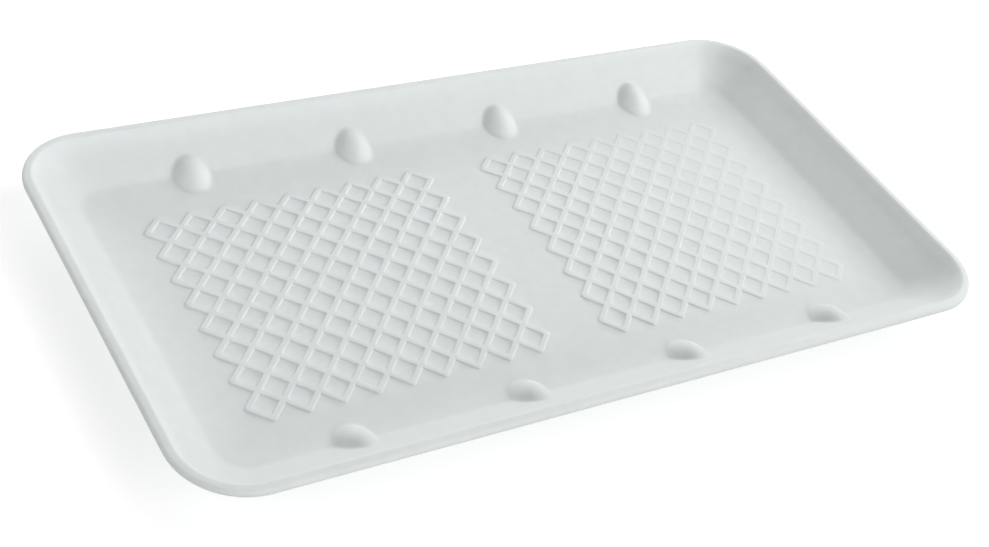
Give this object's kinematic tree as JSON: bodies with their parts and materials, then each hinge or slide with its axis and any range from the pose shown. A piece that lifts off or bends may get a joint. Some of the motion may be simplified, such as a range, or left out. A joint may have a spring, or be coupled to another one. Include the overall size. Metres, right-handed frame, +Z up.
{
  "type": "foam food tray",
  "caption": "Shallow rounded rectangular foam tray with sloping walls, a turned-out rim, raised diamond lattices on its floor and rounded lugs along its long walls.",
  "frame": {"origin": "under the middle of the tray, on the surface it stands on", "axes": "+X along the long side, +Y along the short side, +Z up out of the open top"},
  "size_m": [0.375, 0.2046, 0.021],
  "materials": {
    "foam": "matte, fine-celled white foam"
  },
  "bodies": {
    "root": {"foam_tray": "foam"}
  },
  "joints": []
}
